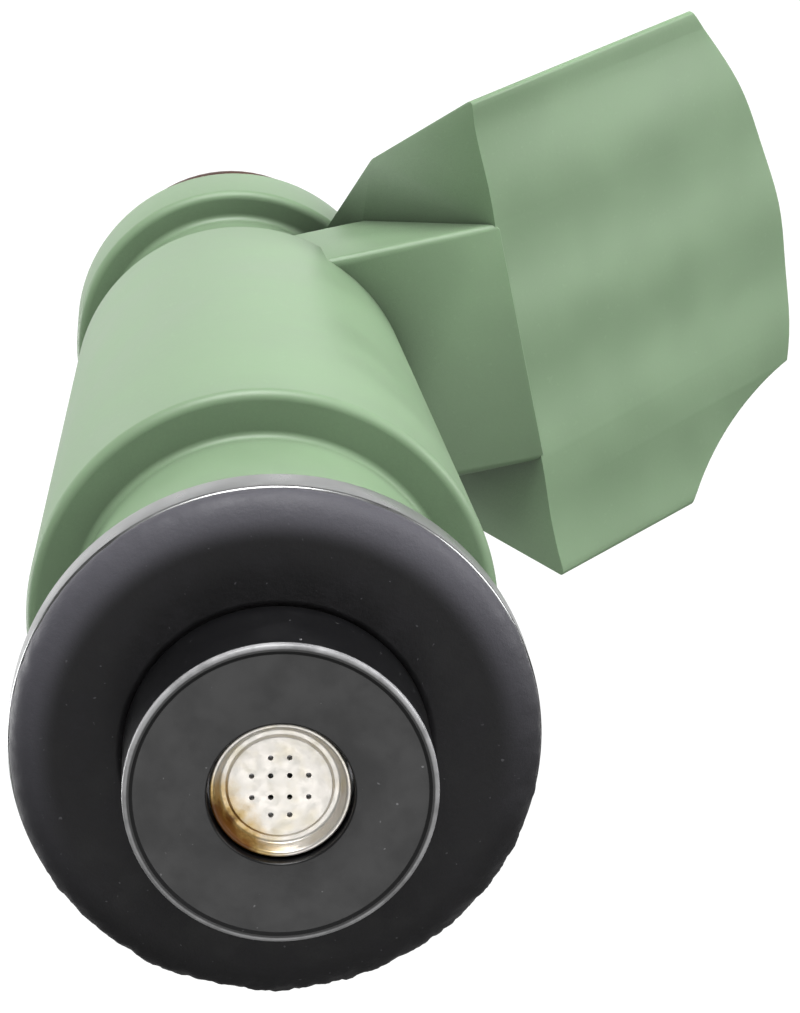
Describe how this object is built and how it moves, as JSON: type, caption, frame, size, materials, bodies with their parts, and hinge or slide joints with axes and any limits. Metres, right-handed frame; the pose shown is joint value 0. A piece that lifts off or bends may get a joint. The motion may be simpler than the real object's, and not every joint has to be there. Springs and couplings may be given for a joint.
{
  "type": "fuel injector",
  "caption": "Top-feed electromagnetic port injector: slim green moulded body, leaning oval socket, black nozzle cap with recessed spray plate, rubber seal ring.",
  "frame": {"origin": "on the injector's axis in the plane of the nozzle cap's front face", "axes": "+Z runs along the injector's axis from the spray end to the fuel inlet; +X is the side the electrical connector leans to"},
  "size_m": [0.0315, 0.0198, 0.0645],
  "materials": {
    "green_plastic": "fine satin, moulded",
    "black_plastic": "glossy, moulded",
    "black_rubber": "matte, moulded",
    "brown_rubber": "satin, moulded",
    "bright_steel": "bright, pressed or ground",
    "steel": "turned",
    "core_steel": "dull, machined",
    "copper_wire": "enamelled wire",
    "bobbin_plastic": "moulded",
    "filter_plastic": "moulded",
    "collar_brass": "pressed",
    "tinned_contact": "tinned"
  },
  "bodies": {
    "injector": {"nozzle_cap": "black_plastic", "spray_plate": "bright_steel", "valve_seat": "steel", "ball_guide": "steel", "valve_body": "steel", "seal_ring": "black_rubber", "seal_retainer": "bright_steel", "solenoid_housing": "core_steel", "coil_bobbin": "bobbin_plastic", "coil_winding": "copper_wire", "isolating_ring": "steel", "fixed_core": "core_steel", "flux_plate": "core_steel", "return_spring": "bright_steel", "adjusting_sleeve": "steel", "inlet_tube": "bright_steel", "filter_collar": "collar_brass", "filter_frame": "filter_plastic", "filter_mesh": "filter_plastic", "backup_ring": "black_plastic", "inlet_o_ring": "brown_rubber", "overmould": "green_plastic", "terminal_plus": "tinned_contact", "terminal_minus": "tinned_contact"},
    "needle": {"valve_ball": "bright_steel", "needle_tube": "bright_steel", "armature": "core_steel"}
  },
  "joints": [
    {"name": "needle_lift", "type": "slide", "parent": "injector", "child": "needle", "axis": [0, 0, 1], "range_m": [0, 0.0001], "stiffness_N_per_m": 2000, "deforming": ["return_spring"]}
  ]
}
